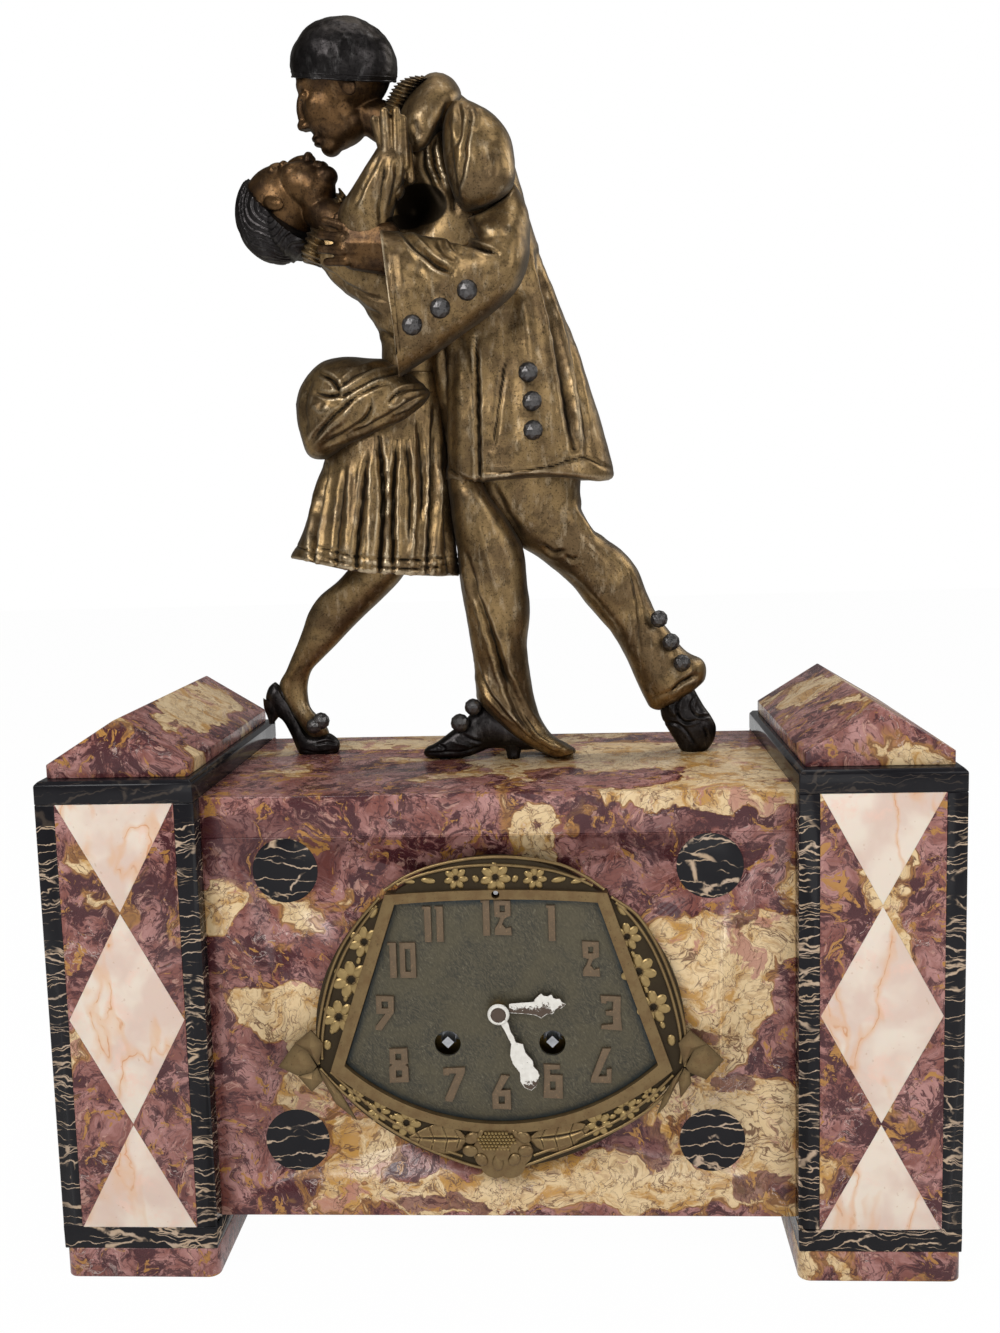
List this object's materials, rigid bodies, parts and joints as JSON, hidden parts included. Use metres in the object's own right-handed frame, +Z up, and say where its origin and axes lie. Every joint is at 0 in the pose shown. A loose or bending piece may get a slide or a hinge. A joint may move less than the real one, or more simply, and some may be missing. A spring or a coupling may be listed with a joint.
{
  "type": "figural mantel clock",
  "caption": "Marble mantel clock: two gabled inlaid pillars flank a block with a fan-shaped striking dial, and a cast dancing couple in costume stands on top.",
  "frame": {"origin": "bottom centre of the two feet, on the surface that the clock stands on", "axes": "+X to the right of someone facing the dial, -Y out of the dial towards that person, +Z up"},
  "size_m": [0.39, 0.16, 0.5591],
  "materials": {
    "breccia_marble": "polished",
    "black_marble": "polished",
    "onyx": "polished",
    "dial_metal": "hammered and patinated",
    "numeral_metal": "patinated",
    "gilt_bronze": "worn gilt",
    "hand_paint": "chipped paint",
    "movement_brass": "satin",
    "movement_steel": "polished",
    "bell_metal": "polished",
    "bronze_dress": "patinated bronze finish on cast metal",
    "bronze_dark": "dark patina on cast metal"
  },
  "bodies": {
    "root": {"left_pillar": "breccia_marble", "right_pillar": "breccia_marble", "pillar_feet": "breccia_marble", "pillar_frames": "black_marble", "pillar_caps": "black_marble", "pillar_gables": "breccia_marble", "onyx_inlays": "onyx", "block_front_slab": "breccia_marble", "block_top_slab": "breccia_marble", "block_bottom_slab": "breccia_marble", "block_back_slab": "breccia_marble", "disc_inlays": "black_marble", "dial_surround": "gilt_bronze", "dial_plate": "dial_metal", "hour_numerals": "numeral_metal", "front_plate": "movement_brass", "back_plate": "movement_brass", "plate_pillars": "movement_brass", "suspension_cock": "movement_brass", "suspension_spring": "movement_steel", "bell": "bell_metal", "case_straps": "movement_steel", "back_bezel": "movement_brass", "hinge_pin": "movement_steel", "figure_studs": "movement_steel", "man_head": "bronze_dark", "man_collar": "bronze_dress", "man_coat": "bronze_dress", "man_sleeve": "bronze_dress", "man_hand": "bronze_dress", "man_front_trouser": "bronze_dress", "man_rear_trouser": "bronze_dress", "woman_head": "bronze_dark", "woman_bodice": "bronze_dress", "woman_arm": "bronze_dress", "woman_skirt": "bronze_dress", "woman_legs": "bronze_dress", "shoes": "bronze_dark", "buttons_and_pompons": "bronze_dark"},
    "minute": {"centre_arbor": "movement_brass", "cannon_pinion": "movement_steel", "minute_hand": "hand_paint", "hand_collet": "hand_paint"},
    "hour": {"hour_wheel": "movement_brass", "hour_hand": "hand_paint"},
    "minute_wheel": {"minute_wheel": "movement_brass"},
    "going_barrel": {"going_barrel": "movement_brass"},
    "third_wheel": {"third_wheel": "movement_brass"},
    "escape_wheel": {"escape_wheel": "movement_brass"},
    "going_winding": {"going_winding_arbor": "movement_steel"},
    "strike_barrel": {"strike_barrel": "movement_brass"},
    "strike_wheel": {"strike_wheel": "movement_brass"},
    "strike_fly": {"strike_fly": "movement_brass"},
    "strike_winding": {"strike_winding_arbor": "movement_steel"},
    "hammer": {"hammer": "movement_steel"},
    "pallets": {"pallet_anchor": "movement_steel"},
    "pendulum": {"pendulum": "movement_brass"},
    "regulator": {"regulator_arbor": "movement_steel"},
    "regulator_slide": {"regulator_slide": "movement_brass"},
    "back_door": {"back_door": "movement_brass"}
  },
  "joints": [
    {"name": "minute_turn", "type": "hinge", "parent": "root", "child": "minute", "pos_m": [0, -0.006, 0.1194], "axis": [0, 1, 0], "continuous": true},
    {"name": "hour_turn", "type": "hinge", "parent": "root", "child": "hour", "pos_m": [0, -0.006, 0.1194], "axis": [0, 1, 0], "continuous": true},
    {"name": "minute_wheel_turn", "type": "hinge", "parent": "root", "child": "minute_wheel", "pos_m": [0, -0.006, 0.1044], "axis": [0, 1, 0], "continuous": true},
    {"name": "going_barrel_turn", "type": "hinge", "parent": "root", "child": "going_barrel", "pos_m": [0.0226, -0.006, 0.1048], "axis": [0, 1, 0], "continuous": true},
    {"name": "third_wheel_turn", "type": "hinge", "parent": "root", "child": "third_wheel", "pos_m": [0.01231, -0.006, 0.13491], "axis": [0, 1, 0], "continuous": true},
    {"name": "escape_wheel_turn", "type": "hinge", "parent": "root", "child": "escape_wheel", "pos_m": [0, -0.006, 0.144], "axis": [0, 1, 0], "continuous": true},
    {"name": "going_winding_turn", "type": "hinge", "parent": "root", "child": "going_winding", "pos_m": [0.0226, -0.006, 0.1048], "axis": [0, 1, 0], "range_deg": [0, 1620]},
    {"name": "strike_barrel_turn", "type": "hinge", "parent": "root", "child": "strike_barrel", "pos_m": [-0.0226, -0.006, 0.1048], "axis": [0, 1, 0], "continuous": true},
    {"name": "strike_wheel_turn", "type": "hinge", "parent": "root", "child": "strike_wheel", "pos_m": [-0.02727, -0.006, 0.1313], "axis": [0, 1, 0], "continuous": true},
    {"name": "strike_fly_turn", "type": "hinge", "parent": "root", "child": "strike_fly", "pos_m": [-0.02137, -0.006, 0.14152], "axis": [0, 1, 0], "continuous": true},
    {"name": "strike_winding_turn", "type": "hinge", "parent": "root", "child": "strike_winding", "pos_m": [-0.0226, -0.006, 0.1048], "axis": [0, 1, 0], "range_deg": [0, 1620]},
    {"name": "hammer_lift", "type": "hinge", "parent": "root", "child": "hammer", "pos_m": [-0.04, -0.006, 0.134], "axis": [0, 1, 0], "range_deg": [-12, 0], "stiffness_Nm_per_rad": 0.02, "springref_deg": 20.05},
    {"name": "pendulum_swing", "type": "hinge", "parent": "root", "child": "pendulum", "pos_m": [0, -0.006, 0.158], "axis": [0, 1, 0], "range_deg": [-4, 4]},
    {"name": "pallet_rock", "type": "hinge", "parent": "root", "child": "pallets", "pos_m": [0, -0.006, 0.158], "axis": [0, 1, 0], "range_deg": [-4, 4]},
    {"name": "regulator_turn", "type": "hinge", "parent": "root", "child": "regulator", "pos_m": [0, -0.006, 0.1715], "axis": [0, 1, 0], "range_deg": [-1080, 1080]},
    {"name": "regulator_slide_lift", "type": "slide", "parent": "root", "child": "regulator_slide", "axis": [0, 0, 1], "range_m": [-0.0015, 0.0015]},
    {"name": "back_door_open", "type": "hinge", "parent": "root", "child": "back_door", "pos_m": [0.0646, 0.0788, 0.1194], "axis": [0, 0, -1], "range_deg": [0, 110]}
  ],
  "couplings": [
    {"joint": "hour_turn", "follows": "minute_turn", "ratio": 0.083333},
    {"joint": "minute_wheel_turn", "follows": "minute_turn", "ratio": -0.33333},
    {"joint": "going_barrel_turn", "follows": "minute_turn", "ratio": -0.2},
    {"joint": "third_wheel_turn", "follows": "minute_turn", "ratio": -8},
    {"joint": "escape_wheel_turn", "follows": "minute_turn", "ratio": 60},
    {"joint": "strike_wheel_turn", "follows": "strike_barrel_turn", "ratio": -5},
    {"joint": "strike_fly_turn", "follows": "strike_barrel_turn", "ratio": 30},
    {"joint": "pallet_rock", "follows": "pendulum_swing", "ratio": 1},
    {"joint": "regulator_turn", "follows": "regulator_slide_lift", "rad_per_m": 8377.6}
  ]
}
